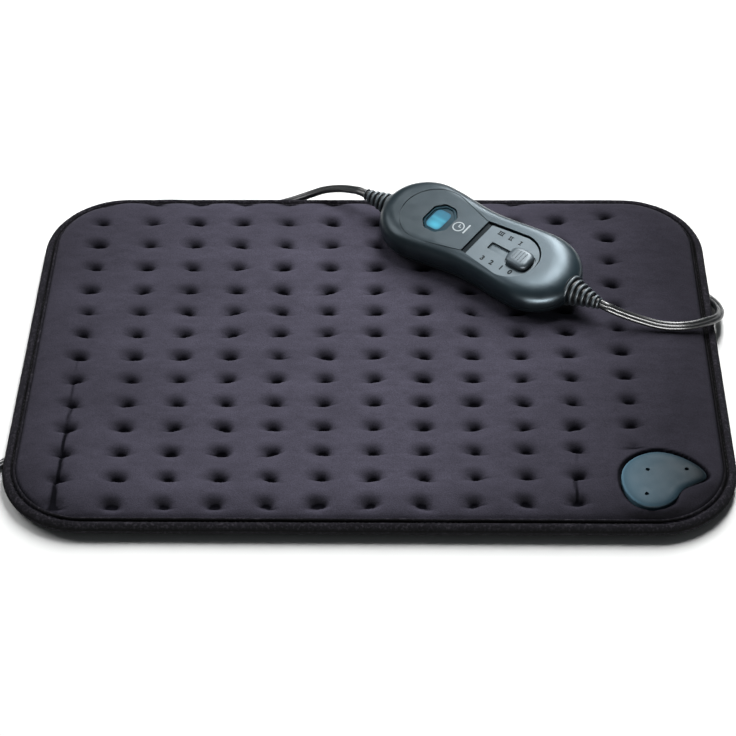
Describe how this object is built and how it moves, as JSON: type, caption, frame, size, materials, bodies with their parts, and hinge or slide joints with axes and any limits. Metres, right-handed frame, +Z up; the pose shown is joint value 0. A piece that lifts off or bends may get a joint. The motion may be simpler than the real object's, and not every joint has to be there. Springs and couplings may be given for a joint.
{
  "type": "heating pad with controller",
  "caption": "Quilted plush heating pad with bound edge, corner connector box and a corded hand controller with a slide selector and lit display.",
  "frame": {"origin": "middle of the pad's underside, on the surface the pad lies on", "axes": "+X along the pad's long side, to the right as the user sees it; -Y towards the user; +Z up"},
  "size_m": [0.5015, 0.3541, 0.0426],
  "materials": {
    "plush": "short dense plush pile, charcoal with a violet cast",
    "backing": "plain short pile, charcoal",
    "wadding": "off-white polyester wadding",
    "fleece": "thin needled fleece",
    "wire": "insulated heating wire, ivory",
    "tape": "woven binding tape, near black",
    "box": "satin moulded, dark teal grey",
    "casing": "satin metallic moulded, slate blue grey",
    "panel": "satin metallic moulded, lighter grey",
    "knob": "satin moulded, light grey",
    "lens": "clear tinted window, polished",
    "display": "lit cyan display",
    "relief": "moulded flexible, charcoal satin",
    "cord": "smooth glossy sheath, black",
    "board": "coated circuit board, green",
    "component": "moulded, black",
    "steel": "plated steel",
    "pin": "nickel plated"
  },
  "bodies": {
    "pad_and_controller": {"pad_top_cover": "plush", "pad_bottom_cover": "backing", "top_wadding": "wadding", "heater_carrier": "fleece", "heating_wire": "wire", "edge_binding": "tape", "corner_box_cover": "box", "corner_box_base": "component", "box_pin_1": "component", "box_pin_2": "component", "box_pin_3": "component", "box_terminal": "component", "thermal_cutout": "steel", "upper_casing": "casing", "lower_casing": "casing", "control_panel": "panel", "display_lens": "lens", "display_module": "display", "slide_switch_body": "steel", "circuit_board": "board", "mains_terminals": "component", "pad_terminals": "component", "relay": "component", "capacitor": "component", "board_fuse": "steel", "timer_chip": "component", "pad_relief": "relief", "mains_relief": "relief", "casing_screw_1": "steel", "casing_screw_2": "steel", "casing_screw_3": "steel", "casing_screw_4": "steel", "pad_lead": "cord", "mains_lead": "cord", "mains_lead_coil": "cord", "mains_lead_tail": "cord", "coil_tie": "relief", "plug_body": "relief", "plug_pin_1": "pin", "plug_pin_2": "pin"},
    "selector": {"selector_knob": "knob", "selector_shutter": "component", "switch_lever": "component"}
  },
  "joints": [
    {"name": "selector_slide", "type": "slide", "parent": "pad_and_controller", "child": "selector", "axis": [-0.7754, 0.6315, 0.0079], "range_m": [0, 0.0198]}
  ]
}
